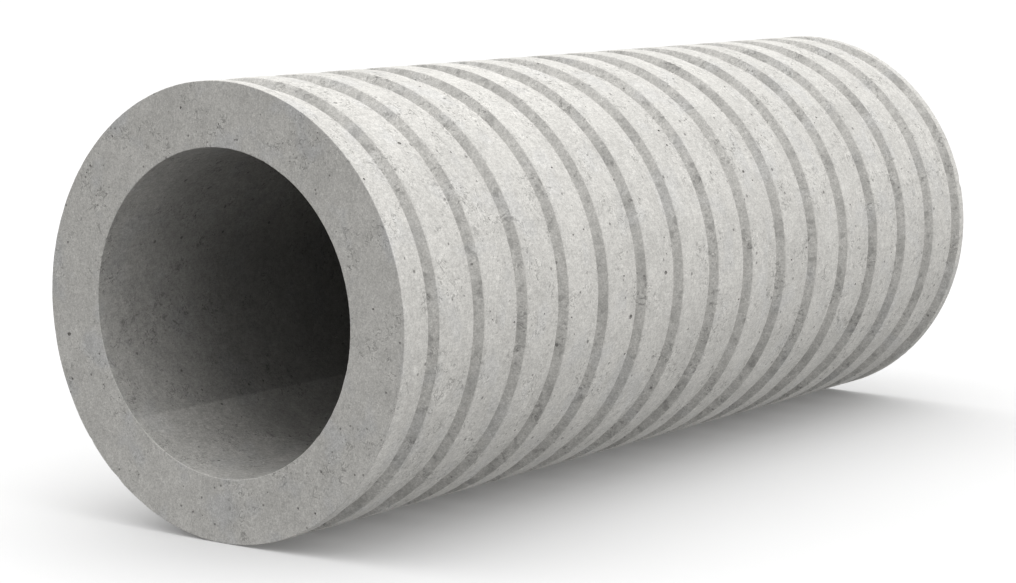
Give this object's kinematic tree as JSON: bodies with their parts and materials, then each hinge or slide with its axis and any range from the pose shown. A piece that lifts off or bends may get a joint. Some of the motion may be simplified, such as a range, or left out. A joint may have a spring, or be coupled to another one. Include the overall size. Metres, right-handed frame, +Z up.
{
  "type": "fibre cement casing pipe",
  "caption": "Short thick-walled fibre cement casing pipe with a plain bore and turned grooves around the outside, cast into a wall to line a service opening.",
  "frame": {"origin": "on the floor under the middle of the pipe, which lies on its side", "axes": "+X along the pipe's axis, from the end with the wider plain land towards the other end; +Z up"},
  "size_m": [0.35, 0.14, 0.14],
  "materials": {
    "fibre_cement": "matt, fine pores, light grey"
  },
  "bodies": {
    "root": {"casing_pipe": "fibre_cement"}
  },
  "joints": []
}
